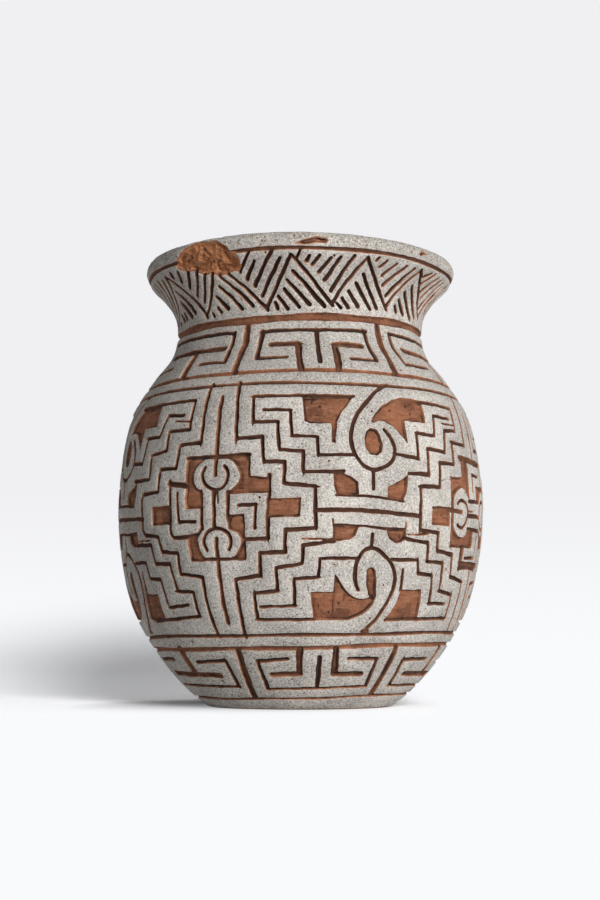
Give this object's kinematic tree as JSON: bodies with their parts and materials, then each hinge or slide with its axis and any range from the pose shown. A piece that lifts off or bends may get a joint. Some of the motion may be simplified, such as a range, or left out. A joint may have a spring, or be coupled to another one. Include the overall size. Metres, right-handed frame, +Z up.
{
  "type": "carved earthenware vase",
  "caption": "Round-bellied earthenware vase with a flared neck and rolled lip, in white slip carved through to the red clay in key, scroll and stepped-cross bands.",
  "frame": {"origin": "middle of the flat foot, on the surface that the vase stands on", "axes": "+Z up along the axis of the vase; -Y is the side that faces the camera, and +X is to its right"},
  "size_m": [0.1878, 0.1888, 0.229],
  "materials": {
    "fired_clay": "matt, unglazed, coarse",
    "white_slip": "matt, worn and speckled"
  },
  "bodies": {
    "root": {"clay_body": "fired_clay", "figure_1": "white_slip", "figure_2": "white_slip", "figure_3": "white_slip", "figure_4": "white_slip", "figure_ground_1": "white_slip", "figure_ground_2": "white_slip", "figure_ground_3": "white_slip", "figure_ground_4": "white_slip", "figure_left_panel_1": "white_slip", "figure_left_panel_2": "white_slip", "figure_left_panel_3": "white_slip", "figure_left_panel_4": "white_slip", "figure_right_panel_1": "white_slip", "figure_right_panel_2": "white_slip", "figure_right_panel_3": "white_slip", "figure_right_panel_4": "white_slip", "foot_coat": "white_slip", "hatch_lower_coat": "white_slip", "hatch_upper_coat": "white_slip", "lip_coat": "white_slip", "lower_key_panel_1": "white_slip", "lower_key_panel_2": "white_slip", "lower_key_panel_3": "white_slip", "lower_key_panel_4": "white_slip", "lower_key_panel_5": "white_slip", "lower_key_panel_6": "white_slip", "lower_ring_coat": "white_slip", "lower_scroll_field_1": "white_slip", "lower_scroll_field_2": "white_slip", "lower_scroll_field_3": "white_slip", "lower_scroll_field_4": "white_slip", "upper_key_panel_1": "white_slip", "upper_key_panel_2": "white_slip", "upper_key_panel_3": "white_slip", "upper_key_panel_4": "white_slip", "upper_key_panel_5": "white_slip", "upper_key_panel_6": "white_slip", "upper_ring_coat": "white_slip", "upper_scroll_field_1": "white_slip", "upper_scroll_field_2": "white_slip", "upper_scroll_field_3": "white_slip", "upper_scroll_field_4": "white_slip"}
  },
  "joints": []
}
